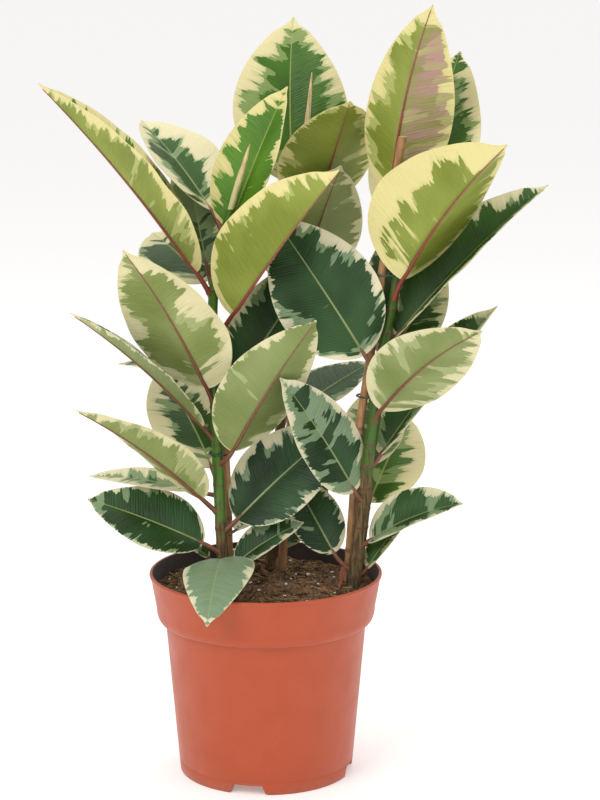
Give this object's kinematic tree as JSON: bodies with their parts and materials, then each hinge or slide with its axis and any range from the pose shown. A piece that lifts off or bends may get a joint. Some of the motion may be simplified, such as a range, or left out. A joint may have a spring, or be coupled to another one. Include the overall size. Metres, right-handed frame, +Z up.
{
  "type": "potted live plant",
  "caption": "Bushy rubber plant with broad cream-edged leaves on upright stems tied to canes, growing in a tapered collared plastic nursery pot.",
  "frame": {"origin": "middle of the bounding box in plan, on the plane the pot stands on", "axes": "+Z up along the stems, -Y the side the plant shows in the picture, +X to its right"},
  "size_m": [0.4468, 0.2654, 0.6916],
  "materials": {
    "pot_plastic": "moulded terracotta-coloured plastic, satin",
    "potting_soil": null,
    "stem_bark": "green skin above, thin brown bark below",
    "bamboo": "dry split-free bamboo cane, satin",
    "tie_wire": "plastic-coated tie wire",
    "leaf": null,
    "leaf_sheath": "rolled new leaf in its sheath"
  },
  "bodies": {
    "root": {"cane_back": "bamboo", "cane_left": "bamboo", "cane_right": "bamboo", "leaf_back_01": "leaf", "leaf_back_02": "leaf", "leaf_back_03": "leaf", "leaf_back_04": "leaf", "leaf_back_05": "leaf", "leaf_back_06": "leaf", "leaf_left_01": "leaf", "leaf_left_02": "leaf", "leaf_left_03": "leaf", "leaf_left_04": "leaf", "leaf_left_05": "leaf", "leaf_left_06": "leaf", "leaf_left_07": "leaf", "leaf_left_08": "leaf", "leaf_left_09": "leaf", "leaf_left_10": "leaf", "leaf_left_11": "leaf", "leaf_left_12": "leaf", "leaf_left_13": "leaf", "leaf_left_14": "leaf", "leaf_left_15": "leaf", "leaf_left_16": "leaf", "leaf_left_17": "leaf", "leaf_left_18": "leaf", "leaf_left_19": "leaf", "leaf_left_20": "leaf", "leaf_right_01": "leaf", "leaf_right_02": "leaf", "leaf_right_03": "leaf", "leaf_right_04": "leaf", "leaf_right_05": "leaf", "leaf_right_06": "leaf", "leaf_right_07": "leaf", "leaf_right_08": "leaf", "leaf_right_09": "leaf", "leaf_right_10": "leaf", "leaf_right_11": "leaf", "leaf_right_12": "leaf", "leaf_right_13": "leaf", "leaf_right_14": "leaf", "leaf_right_15": "leaf", "pot": "pot_plastic", "soil": "potting_soil", "spear_back": "leaf_sheath", "spear_left": "leaf_sheath", "stem_back": "stem_bark", "stem_left": "stem_bark", "stem_right": "stem_bark", "tie_left": "tie_wire", "tie_right_high": "tie_wire", "tie_right_low": "tie_wire"}
  },
  "joints": []
}
